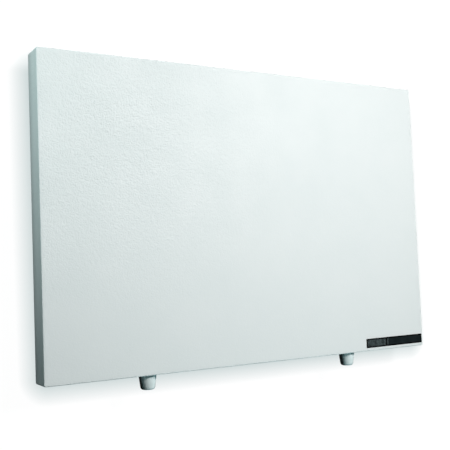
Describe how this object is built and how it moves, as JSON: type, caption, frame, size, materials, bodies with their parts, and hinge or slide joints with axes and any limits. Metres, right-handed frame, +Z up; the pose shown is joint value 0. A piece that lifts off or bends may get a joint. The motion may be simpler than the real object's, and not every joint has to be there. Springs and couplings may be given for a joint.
{
  "type": "infrared panel heater",
  "caption": "Flat wall-hung infrared panel heater: white folded-steel casing, bare strip at the lower right, tapered feet below, on a keyhole wall frame.",
  "frame": {"origin": "centre of the wall frame's four screw holes, on the wall plane", "axes": "+X to the right along the panel seen from the room, +Y into the wall, +Z up"},
  "size_m": [0.595, 0.0625, 0.419],
  "materials": {
    "casing_coating": "white powder coating with a fine orange-peel grain",
    "strip_film": "black satin film",
    "element_film": "amber glass-fibre film",
    "conductor": "flat resistance alloy",
    "tinned_brass": "tinned",
    "bright_foil": "bright rolled foil",
    "mineral_board": "pressed mineral wool",
    "moulded_black": "phenolic moulding",
    "spring_steel": "bright spring strip",
    "zinc_sheet": "galvanised sheet",
    "zinc_screw": "zinc plated",
    "moulded_grey": "light grey moulding, fine spark texture",
    "rivet_aluminium": "bright",
    "moulded_gland": "light grey nylon",
    "seal_rubber": "black seal rubber",
    "moulded_white": "natural white nylon",
    "brass": "machined",
    "lead_brown": "silicone insulation",
    "lead_blue": "silicone insulation",
    "lead_green_yellow": "silicone insulation, two-coloured",
    "foot_rubber": "pale grey rubber",
    "frame_steel": "galvanised sheet",
    "frame_rivet": "bright"
  },
  "bodies": {
    "wall_frame": {"wall_rail_left": "frame_steel", "wall_rail_right": "frame_steel", "tie_bar_top": "frame_steel", "tie_bar_bottom": "frame_steel", "tie_rivets": "frame_rivet"},
    "heater": {"front_casing": "casing_coating", "name_strip": "strip_film", "element_front_film": "element_film", "heating_track": "conductor", "element_rear_film": "element_film", "element_tabs": "tinned_brass", "reflector_foil": "bright_foil", "insulation_board": "mineral_board", "thermal_cutout": "moulded_black", "cutout_strap": "spring_steel", "push_on_sleeves": "tinned_brass", "rear_cover": "zinc_sheet", "rear_cover_screws": "zinc_screw", "hanging_studs": "zinc_screw", "stud_nuts": "zinc_screw", "terminal_box": "moulded_grey", "terminal_box_lid": "moulded_grey", "lid_screws": "zinc_screw", "box_rivets": "rivet_aluminium", "gland_body": "moulded_gland", "gland_locknut": "moulded_gland", "gland_seal": "seal_rubber", "gland_dome_nut": "moulded_gland", "terminal_block": "moulded_white", "terminal_inserts": "brass", "terminal_screws": "zinc_screw", "block_screws": "zinc_screw", "earth_stud": "brass", "earth_lug": "tinned_brass", "earth_nut": "brass", "live_lead": "lead_brown", "cutout_lead": "lead_brown", "neutral_lead": "lead_blue", "earth_lead": "lead_green_yellow", "foot_left": "foot_rubber", "foot_right": "foot_rubber", "foot_washers": "zinc_screw", "foot_screws": "zinc_screw", "foot_rivet_nuts": "zinc_screw"}
  },
  "joints": [
    {"name": "lift_off", "type": "slide", "parent": "wall_frame", "child": "heater", "axis": [0, 0, 1], "range_m": [0, 0.014]}
  ]
}
